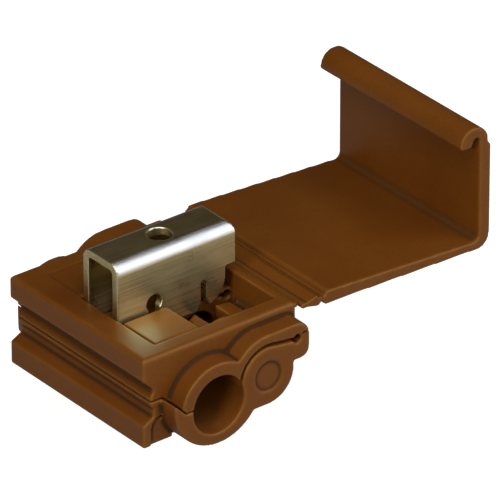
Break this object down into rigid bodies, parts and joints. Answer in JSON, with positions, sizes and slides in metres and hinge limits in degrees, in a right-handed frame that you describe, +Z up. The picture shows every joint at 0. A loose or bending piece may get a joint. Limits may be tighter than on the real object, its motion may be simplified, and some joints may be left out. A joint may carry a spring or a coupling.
{
  "type": "insulation displacement connector",
  "caption": "Brown side-entry tap splice with a hinged wire flap, a slotted U-shaped metal contact standing up out of its pocket, and an open L-shaped cover with a snap hook.",
  "frame": {"origin": "on the axis of the run wire's channel, halfway along the housing without its collars", "axes": "+Y along both wires, out of the tap bore's mouth; +X across the wires towards the cover's hinge; +Z up, the way the contact stands out"},
  "size_m": [0.0385, 0.0237, 0.0204],
  "materials": {
    "brown_plastic": "satin moulded brown polypropylene with softly rounded edges",
    "plated_contact": "tin-plated brass strip, stamped and folded, with fine rolling lines"
  },
  "bodies": {
    "housing": {"housing": "brown_plastic"},
    "wire_flap": {"wire_flap": "brown_plastic"},
    "hinge_bar": {"hinge_bar": "brown_plastic"},
    "cover": {"cover": "brown_plastic"},
    "contact": {"contact": "plated_contact"}
  },
  "joints": [
    {"name": "cover_fold", "type": "hinge", "parent": "housing", "child": "hinge_bar", "pos_m": [0.01085, 0, 0.00499], "axis": [0, -1, 0], "range_deg": [0, 79]},
    {"name": "cover_fold_outer", "type": "hinge", "parent": "hinge_bar", "child": "cover", "pos_m": [0.01275, 0, 0.00499], "axis": [0, -1, 0], "range_deg": [0, 79]},
    {"name": "contact_press", "type": "slide", "parent": "housing", "child": "contact", "axis": [0, 0, -1], "range_m": [0, 0.00515]},
    {"name": "flap_open", "type": "hinge", "parent": "housing", "child": "wire_flap", "pos_m": [0.00945, 0, 0.00345], "axis": [0, -1, 0], "range_deg": [0, 30], "stiffness_Nm_per_rad": 0.005}
  ],
  "couplings": [
    {"joint": "cover_fold", "follows": "contact_press", "rad_per_m": 267.7},
    {"joint": "cover_fold_outer", "follows": "contact_press", "rad_per_m": 267.7}
  ]
}
